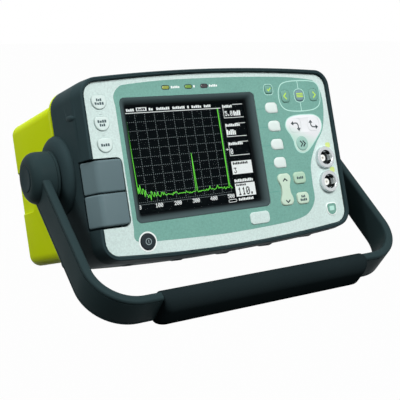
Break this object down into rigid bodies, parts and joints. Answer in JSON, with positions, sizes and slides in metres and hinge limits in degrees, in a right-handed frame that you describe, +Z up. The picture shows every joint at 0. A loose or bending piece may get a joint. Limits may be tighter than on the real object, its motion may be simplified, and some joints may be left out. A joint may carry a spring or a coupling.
{
  "type": "ultrasonic flaw detector",
  "caption": "Portable ultrasonic flaw detector with a framed display, keypad, side paddles and probe sockets, standing on its swing-down carrying handle.",
  "frame": {"origin": "middle of the footprint, on the surface that the grip and the rear feet stand on", "axes": "+X to the instrument's right seen from the front, +Y to its back, +Z up"},
  "size_m": [0.303, 0.2378, 0.1786],
  "materials": {
    "dark_housing_plastic": "satin moulded, blue-green grey",
    "lime_case_plastic": "satin moulded, yellow-green",
    "pale_panel_plastic": "fine matt, very pale mint",
    "green_overlay_film": "matt printed film, grey-green",
    "black_plastic": "matt",
    "black_rubber": "matt",
    "grip_rubber": "matt, slightly blue",
    "handle_plastic": "satin, over a light-alloy casting",
    "button_plastic": "satin",
    "white_key_rubber": "matt silicone",
    "mint_key_rubber": "matt silicone",
    "green_key_rubber": "matt silicone",
    "paddle_plastic": "satin",
    "lens_plastic": "tinted clear",
    "display_glass": "clear, hard coated",
    "display_panel": "dark, self-lit in use",
    "circuit_board": "solder resist",
    "sheet_aluminium": "plain",
    "bright_steel": "plain turned",
    "chrome_plated_brass": "polished",
    "gold_plated_brass": "bright",
    "white_insulator": "turned",
    "battery_plastic": "shrink sleeve",
    "tray_plastic": "matt"
  },
  "bodies": {
    "instrument": {"front_housing": "dark_housing_plastic", "rear_case": "lime_case_plastic", "case_seal": "black_rubber", "case_screws": "bright_steel", "rubber_feet": "black_rubber", "panel_plate": "pale_panel_plastic", "panel_overlay": "green_overlay_film", "raised_pads": "pale_panel_plastic", "status_lenses": "lens_plastic", "display_bezel": "black_plastic", "display_window": "display_glass", "window_gasket": "black_rubber", "lcd_module": "display_panel", "keypad_board": "circuit_board", "inner_frame": "sheet_aluminium", "main_board": "circuit_board", "pulser_board": "circuit_board", "board_standoffs": "bright_steel", "shield_can": "sheet_aluminium", "socket_shell_upper": "chrome_plated_brass", "socket_shell_lower": "chrome_plated_brass", "socket_insulators": "white_insulator", "socket_contacts": "gold_plated_brass", "socket_nuts": "chrome_plated_brass", "battery_tray": "tray_plastic", "battery_pack": "battery_plastic", "data_socket": "black_plastic", "charger_socket": "black_plastic", "pivot_screws": "bright_steel", "detent_discs": "bright_steel"},
    "handle": {"handle_arm_left": "handle_plastic", "handle_arm_right": "handle_plastic", "handle_bar": "bright_steel", "handle_grip": "grip_rubber", "button_springs": "bright_steel"},
    "side_key_top": {"side_key_top": "white_key_rubber"},
    "side_key_middle": {"side_key_middle": "white_key_rubber"},
    "side_key_bottom": {"side_key_bottom": "white_key_rubber"},
    "power_key": {"power_key": "black_plastic"},
    "accept_key": {"accept_key": "green_key_rubber"},
    "oval_key_left": {"oval_key_left": "green_key_rubber"},
    "oval_key_centre": {"oval_key_centre": "green_key_rubber"},
    "oval_key_right": {"oval_key_right": "green_key_rubber"},
    "soft_key_1": {"soft_key_1": "white_key_rubber"},
    "soft_key_2": {"soft_key_2": "white_key_rubber"},
    "soft_key_3": {"soft_key_3": "white_key_rubber"},
    "soft_key_4": {"soft_key_4": "white_key_rubber"},
    "turn_key_left": {"turn_key_left": "white_key_rubber"},
    "turn_key_right": {"turn_key_right": "white_key_rubber"},
    "fast_key": {"fast_key": "mint_key_rubber"},
    "step_key": {"step_key": "mint_key_rubber"},
    "reference_key": {"reference_key": "mint_key_rubber"},
    "rocker": {"rocker": "mint_key_rubber"},
    "paddle_upper": {"paddle_upper": "paddle_plastic"},
    "paddle_lower": {"paddle_lower": "paddle_plastic"},
    "release_button_left": {"release_button_left": "button_plastic"},
    "release_button_right": {"release_button_right": "button_plastic"},
    "battery_cover": {"battery_cover": "lime_case_plastic"},
    "cover_screw_left": {"cover_screw_left": "button_plastic"},
    "cover_screw_right": {"cover_screw_right": "button_plastic"}
  },
  "joints": [
    {"name": "handle_turn", "type": "hinge", "parent": "instrument", "child": "handle", "pos_m": [0, 0.00222, 0.09631], "axis": [-1, 0, 0], "range_deg": [-45, 225]},
    {"name": "release_button_left_press", "type": "slide", "parent": "handle", "child": "release_button_left", "axis": [1, 0, 0], "range_m": [0, 0.0022], "stiffness_N_per_m": 600, "springref_m": -0.002, "deforming": ["button_springs"]},
    {"name": "release_button_right_press", "type": "slide", "parent": "handle", "child": "release_button_right", "axis": [-1, 0, 0], "range_m": [0, 0.0022], "stiffness_N_per_m": 600, "springref_m": -0.002, "deforming": ["button_springs"]},
    {"name": "side_key_top_press", "type": "slide", "parent": "instrument", "child": "side_key_top", "axis": [0, 0.9567, -0.2912], "range_m": [0, 0.0008], "stiffness_N_per_m": 300, "springref_m": -0.001},
    {"name": "side_key_middle_press", "type": "slide", "parent": "instrument", "child": "side_key_middle", "axis": [0, 0.9567, -0.2912], "range_m": [0, 0.0008], "stiffness_N_per_m": 300, "springref_m": -0.001},
    {"name": "side_key_bottom_press", "type": "slide", "parent": "instrument", "child": "side_key_bottom", "axis": [0, 0.9567, -0.2912], "range_m": [0, 0.0008], "stiffness_N_per_m": 300, "springref_m": -0.001},
    {"name": "power_key_press", "type": "slide", "parent": "instrument", "child": "power_key", "axis": [0, 0.9567, -0.2912], "range_m": [0, 0.0008], "stiffness_N_per_m": 300, "springref_m": -0.001},
    {"name": "accept_key_press", "type": "slide", "parent": "instrument", "child": "accept_key", "axis": [0, 0.9567, -0.2912], "range_m": [0, 0.0008], "stiffness_N_per_m": 300, "springref_m": -0.001},
    {"name": "oval_key_left_press", "type": "slide", "parent": "instrument", "child": "oval_key_left", "axis": [0, 0.9567, -0.2912], "range_m": [0, 0.0008], "stiffness_N_per_m": 300, "springref_m": -0.001},
    {"name": "oval_key_centre_press", "type": "slide", "parent": "instrument", "child": "oval_key_centre", "axis": [0, 0.9567, -0.2912], "range_m": [0, 0.0008], "stiffness_N_per_m": 300, "springref_m": -0.001},
    {"name": "oval_key_right_press", "type": "slide", "parent": "instrument", "child": "oval_key_right", "axis": [0, 0.9567, -0.2912], "range_m": [0, 0.0008], "stiffness_N_per_m": 300, "springref_m": -0.001},
    {"name": "soft_key_1_press", "type": "slide", "parent": "instrument", "child": "soft_key_1", "axis": [0, 0.9567, -0.2912], "range_m": [0, 0.0008], "stiffness_N_per_m": 300, "springref_m": -0.001},
    {"name": "soft_key_2_press", "type": "slide", "parent": "instrument", "child": "soft_key_2", "axis": [0, 0.9567, -0.2912], "range_m": [0, 0.0008], "stiffness_N_per_m": 300, "springref_m": -0.001},
    {"name": "soft_key_3_press", "type": "slide", "parent": "instrument", "child": "soft_key_3", "axis": [0, 0.9567, -0.2912], "range_m": [0, 0.0008], "stiffness_N_per_m": 300, "springref_m": -0.001},
    {"name": "soft_key_4_press", "type": "slide", "parent": "instrument", "child": "soft_key_4", "axis": [0, 0.9567, -0.2912], "range_m": [0, 0.0008], "stiffness_N_per_m": 300, "springref_m": -0.001},
    {"name": "turn_key_left_press", "type": "slide", "parent": "instrument", "child": "turn_key_left", "axis": [0, 0.9567, -0.2912], "range_m": [0, 0.0008], "stiffness_N_per_m": 300, "springref_m": -0.001},
    {"name": "turn_key_right_press", "type": "slide", "parent": "instrument", "child": "turn_key_right", "axis": [0, 0.9567, -0.2912], "range_m": [0, 0.0008], "stiffness_N_per_m": 300, "springref_m": -0.001},
    {"name": "fast_key_press", "type": "slide", "parent": "instrument", "child": "fast_key", "axis": [0, 0.9567, -0.2912], "range_m": [0, 0.0008], "stiffness_N_per_m": 300, "springref_m": -0.001},
    {"name": "step_key_press", "type": "slide", "parent": "instrument", "child": "step_key", "axis": [0, 0.9567, -0.2912], "range_m": [0, 0.0008], "stiffness_N_per_m": 300, "springref_m": -0.001},
    {"name": "reference_key_press", "type": "slide", "parent": "instrument", "child": "reference_key", "axis": [0, 0.9567, -0.2912], "range_m": [0, 0.0008], "stiffness_N_per_m": 300, "springref_m": -0.001},
    {"name": "rocker_tilt", "type": "hinge", "parent": "instrument", "child": "rocker", "pos_m": [0.05585, -0.05368, 0.07612], "axis": [1, 0, 0], "range_deg": [-2, 2], "stiffness_Nm_per_rad": 0.8},
    {"name": "paddle_upper_press", "type": "slide", "parent": "instrument", "child": "paddle_upper", "axis": [0, 0.9567, -0.2912], "range_m": [0, 0.0015], "stiffness_N_per_m": 500, "springref_m": -0.0015},
    {"name": "paddle_lower_press", "type": "slide", "parent": "instrument", "child": "paddle_lower", "axis": [0, 0.9567, -0.2912], "range_m": [0, 0.0015], "stiffness_N_per_m": 500, "springref_m": -0.0015},
    {"name": "battery_cover_lift", "type": "slide", "parent": "instrument", "child": "battery_cover", "axis": [0, 0.9567, -0.2912], "range_m": [0, 0.015]},
    {"name": "cover_screw_left_turn", "type": "hinge", "parent": "battery_cover", "child": "cover_screw_left", "pos_m": [-0.082, 0.09666, 0.05869], "axis": [0, -0.9567, 0.2912], "range_deg": [0, 90]},
    {"name": "cover_screw_right_turn", "type": "hinge", "parent": "battery_cover", "child": "cover_screw_right", "pos_m": [0.082, 0.09666, 0.05869], "axis": [0, -0.9567, 0.2912], "range_deg": [0, 90]}
  ]
}
